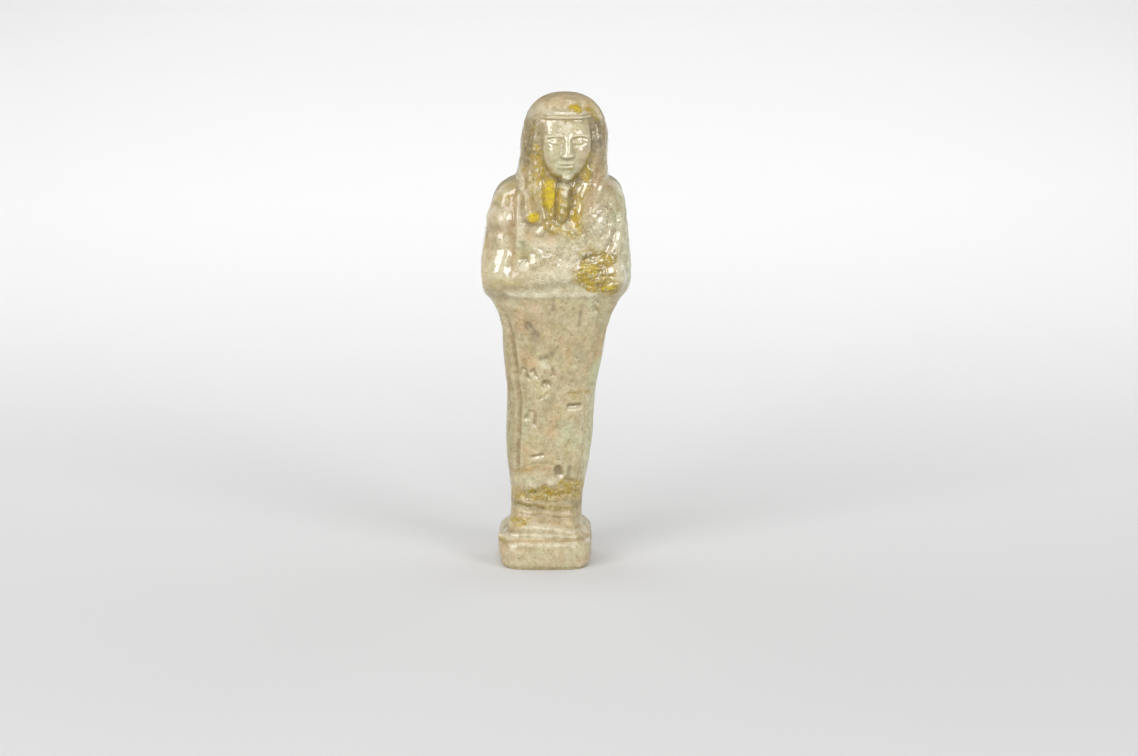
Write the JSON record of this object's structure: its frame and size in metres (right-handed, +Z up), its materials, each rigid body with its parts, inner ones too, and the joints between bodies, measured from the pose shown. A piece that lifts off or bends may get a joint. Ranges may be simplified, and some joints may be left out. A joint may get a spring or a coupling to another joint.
{
  "type": "ushabti figurine",
  "caption": "Small mummiform burial figurine of glazed faience, arms crossed, wearing a long wig and false beard, standing on a low rounded plinth with a back pillar.",
  "frame": {"origin": "centre of the plinth's flat underside", "axes": "+Z up along the figure, -Y the way the figure faces, +X towards the figure's left hand"},
  "size_m": [0.0347, 0.0224, 0.11],
  "materials": {
    "faience": "worn glossy faience glaze, greyish beige-green, pooled yellow in the hollows"
  },
  "bodies": {
    "root": {"ushabti_figure": "faience"}
  },
  "joints": []
}
